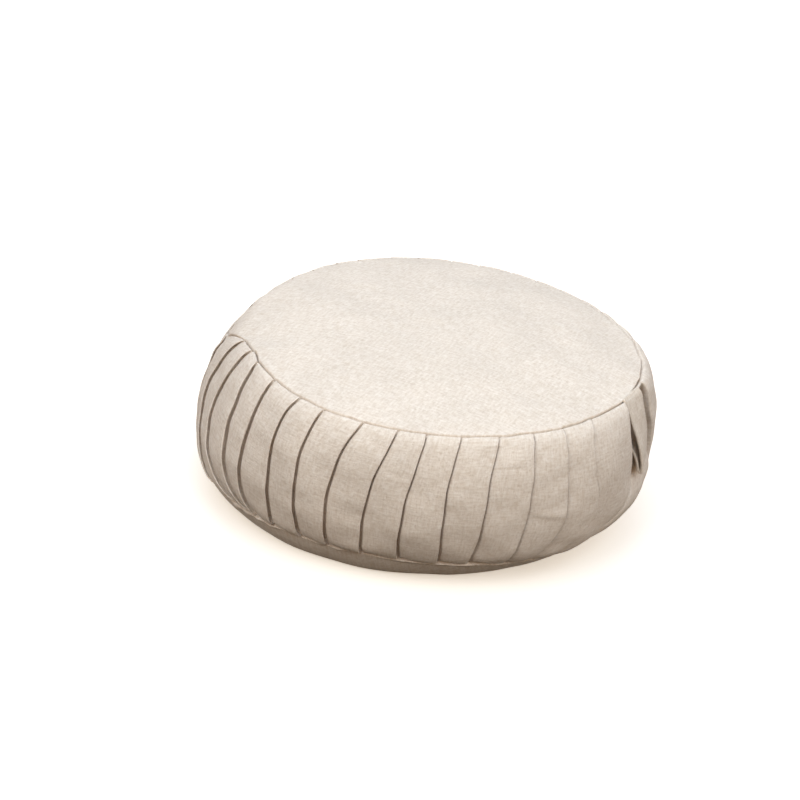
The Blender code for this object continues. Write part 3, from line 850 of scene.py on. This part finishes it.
# Carry strap: linen sewn double, folded in half, with both ends in the top seam
strap = {
    "middle": 12 * mm,
    "width": 28 * mm,
    "thickness": 2.2 * mm,
    "stitchInset": 3.0 * mm,
    "stitchDent": 0.28 * mm,
    "stitchHalf": 0.8 * mm,
    "fullness": 0.08,                         # how far its middle is thicker than its edges
    "flatColumns": 17,
    "edgeAngles": (67, 34, 0, -34, -67),
    "slack": (0.18 * mm, 18 * mm, 11),        # size, length and seed of its unevenness
    "steps": 6,
    "line": (                                  # X and height in mm, and twist in degrees, outer end first
        (167.0, 118.2, -1.5),
        (170.6, 114.3, -2.5),
        (174.0, 107.5, -1.5),
        (177.0, 100.0, 1.0),
        (180.0, 92.0, 5.5),
        (182.8, 84.0, 9.5),
        (184.6, 76.5, 11.5),
        (185.8, 69.0, 13.5),
        (185.2, 63.8, 15.0),
        (182.8, 66.2, 14.5),
        (181.0, 72.4, 13.0),
        (178.0, 79.0, 11.0),
        (173.2, 84.5, 8.0),
        (168.8, 90.0, 6.0),
        (166.4, 97.0, 4.0),
        (166.2, 104.5, 2.0),
        (166.8, 110.4, 1.0),
        (167.4, 114.4, 0.0),
    ),
}


def smoothLine(points, steps):
    # Catmull-Rom curve through the points, each stretch cut into equal steps
    ends = np.concatenate([[2 * points[0] - points[1]], points, [2 * points[-1] - points[-2]]])
    a, b, c, d = (ends[i:len(ends) - 3 + i, None] for i in range(4))
    t = (np.arange(steps) / steps)[None, :, None]
    curve = 0.5 * (2 * b + (c - a) * t + (2 * a - 5 * b + 4 * c - d) * t ** 2
                   + (3 * b - a - 3 * c + d) * t ** 3)
    return np.concatenate([curve.reshape(-1, points.shape[1]), points[-1:]])


def strapFrame():
    # The strap's line, its normal seen from the side, its twist and the run of cloth along it
    curve = smoothLine(np.array(strap["line"]), strap["steps"])
    path = curve[:, :2] * mm
    along = np.gradient(path, axis=0)
    along /= np.linalg.norm(along, axis=1)[:, None]
    normal = np.stack([-along[:, 1], along[:, 0]], 1)
    twist = np.tan(np.radians(curve[:, 2]))
    run = np.concatenate([[0], np.cumsum(np.linalg.norm(np.diff(path, axis=0), axis=1))])
    return path, normal, twist, run


def strapPoints(across, side, path, normal, twist):
    # Point = line + normal * side, moved along Y by across, and in X by the twist
    x = path[:, None, 0] + normal[:, None, 0] * side - across * twist[:, None]
    z = path[:, None, 1] + normal[:, None, 1] * side
    return np.stack([x, strap["middle"] + across + 0 * x, z], -1)


def carryStrap(material):
    # A flat section with rounded edges and two stitched troughs, carried along the strap's line
    path, normal, twist, run = strapFrame()
    half, thick = 0.5 * strap["width"], 0.5 * strap["thickness"]
    flat = np.linspace(-1, 1, strap["flatColumns"]) * (half - thick)
    fromStitch = np.abs(flat) - half + strap["stitchInset"]
    dent = strap["stitchDent"] * np.exp(-(fromStitch / strap["stitchHalf"]) ** 2)
    face = thick * (1 + strap["fullness"] * np.cos(flat / half * 3)) - dent
    bend = np.radians(strap["edgeAngles"])
    across = np.concatenate([flat, half - thick + thick * np.cos(bend), flat[::-1],
                             -half + thick - thick * np.cos(bend)])
    side = np.concatenate([face, thick * np.sin(bend), -face[::-1], -thick * np.sin(bend)])
    points = strapPoints(across[None], side[None], path, normal, twist)
    size, length, seed = strap["slack"]
    points[..., 0] += size * softNoise(points, length, seed)
    count = len(across)
    corners = np.arange(points.shape[0] * count).reshape(-1, count)
    ahead = np.roll(corners, -1, 1)
    faces = np.stack([corners[:-1], ahead[:-1], ahead[1:], corners[1:]], -1).reshape(-1, 4).tolist()
    ends = [corners[0][::-1].tolist(), corners[-1].tolist()]
    piece = newPiece("carryStrap", points, faces + ends, material)
    around = np.concatenate([[0], np.cumsum(np.hypot(np.diff(across), np.diff(side)))])
    uv = np.stack(np.broadcast_arrays(around[None, :], run[:, None]), -1).reshape(-1, 2)
    loops = np.zeros(len(piece.data.loops), int)
    piece.data.loops.foreach_get("vertex_index", loops)
    layClothMap(piece, uv[loops])
    return piece, float(run[-1])


carryStrapPiece, strapLength = carryStrap(strapLinen)
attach(carryStrapPiece, "root")
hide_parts("carry_handle")
print("strap made, cloth length", round(strapLength, 4))


# Camera at the photographed angle
view = {
    "place": (0.49429, -1.14009, 0.69714),
    "aim": (0.00719, 0.00743, 0.06),
    "lens": 80.34,
    "roll": 5.886,
    "shift": (-0.0324, 0.0083),
}


def photoCamera():
    data = bpy.data.cameras.new("photoCamera")
    data.sensor_width = 36
    data.lens = view["lens"]
    data.shift_x, data.shift_y = view["shift"]
    camera = bpy.data.objects.new("photoCamera", data)
    bpy.context.scene.collection.objects.link(camera)
    place = Vector(view["place"])
    back = (place - Vector(view["aim"])).normalized()
    right = Vector((0, 0, 1)).cross(back).normalized()
    up = back.cross(right)
    roll = math.radians(view["roll"])
    rolledRight = right * math.cos(roll) + up * math.sin(roll)
    rolledUp = up * math.cos(roll) - right * math.sin(roll)
    turned = Matrix((rolledRight, rolledUp, back)).transposed().to_4x4()
    turned.translation = place
    camera.matrix_world = turned
    bpy.context.scene.camera = camera


photoCamera()

# Studio: a wide white floor, lit from beneath so that it shows no tone of its own and sends no
# light back up. The surround is black below the floor's level, warm at the horizon and cool
# overhead. Two broad soft boxes stand in front and a weaker one behind
surround = (                                  # sine of the height above the horizon; red, green, blue
    (-1.0, 0.0, 0.0, 0.0),
    (-0.06, 0.0, 0.0, 0.0),
    (0.0, 0.60, 0.32, 0.06),
    (1.0, 0.46, 0.72, 1.05),
)
softBoxes = (                                 # place and watts
    (-0.54, -1.34, 1.42, 16.8),
    (1.34, -0.54, 1.42, 16.2),
    (-0.5, 0.6, 1.9, 10.5),
)
studio = {
    "floorHalf": 40.0,                        # wide enough that its edge lies beyond any view
    "floorDrop": 0.3 * mm,
    "floor": "#dcdcdc",
    "glow": "#fff0dc",                        # the light from beneath
    "glowStrength": 0.55,
    "brightness": 2.0,
    "boxSize": 1.5,
    "boxColour": "#fffcf1",
}


def studioSet():
    # Sheet of white backdrop paper, matt, with light coming through it
    half, drop = studio["floorHalf"], -studio["floorDrop"]
    corners = np.array([[-half, -half, drop], [half, -half, drop], [half, half, drop], [-half, half, drop]])
    paper = bpy.data.materials.new("backlitPaper")
    paper.use_nodes = True
    surface = paper.node_tree.nodes["Principled BSDF"].inputs
    surface["Base Color"].default_value = hexToLinear(studio["floor"])
    surface["Roughness"].default_value = 0.9
    surface["Emission Color"].default_value = hexToLinear(studio["glow"])
    surface["Emission Strength"].default_value = studio["glowStrength"]
    floor = newPiece("floor", corners, [[0, 1, 2, 3]], paper)
    floor.visible_diffuse = False

    world = bpy.data.worlds.new("surround")
    world.use_nodes = True
    tree = world.node_tree
    up = addNode(tree, "ShaderNodeTexCoord").outputs["Generated"]
    up = addNode(tree, "ShaderNodeSeparateXYZ", {0: up}).outputs["Z"]
    place = addNode(tree, "ShaderNodeMapRange", {"Value": up, "From Min": -1.0})
    sky = addNode(tree, "ShaderNodeValToRGB", {"Fac": place.outputs[0]})
    for number, (height, *colour) in enumerate(surround):
        stops = sky.color_ramp.elements
        stop = stops[number] if number < 2 else stops.new(1.0)
        stop.position = 0.5 + 0.5 * height
        stop.color = (*(part / studio["brightness"] for part in colour), 1.0)
    tree.links.new(sky.outputs[0], tree.nodes["Background"].inputs["Color"])
    tree.nodes["Background"].inputs["Strength"].default_value = studio["brightness"]
    bpy.context.scene.world = world

    for x, y, z, power in softBoxes:
        lamp = bpy.data.lights.new("softBox", "AREA")
        lamp.size = studio["boxSize"]
        lamp.energy = power
        lamp.color = hexToLinear(studio["boxColour"])[:3]
        box = bpy.data.objects.new("softBox", lamp)
        box.location = (x, y, z)
        box.rotation_euler = (-Vector((x, y, z))).to_track_quat("-Z", "Y").to_euler()
        bpy.context.scene.collection.objects.link(box)
    bpy.context.scene.view_settings.view_transform = "Standard"


studioSet()
print("camera, floor and light set")
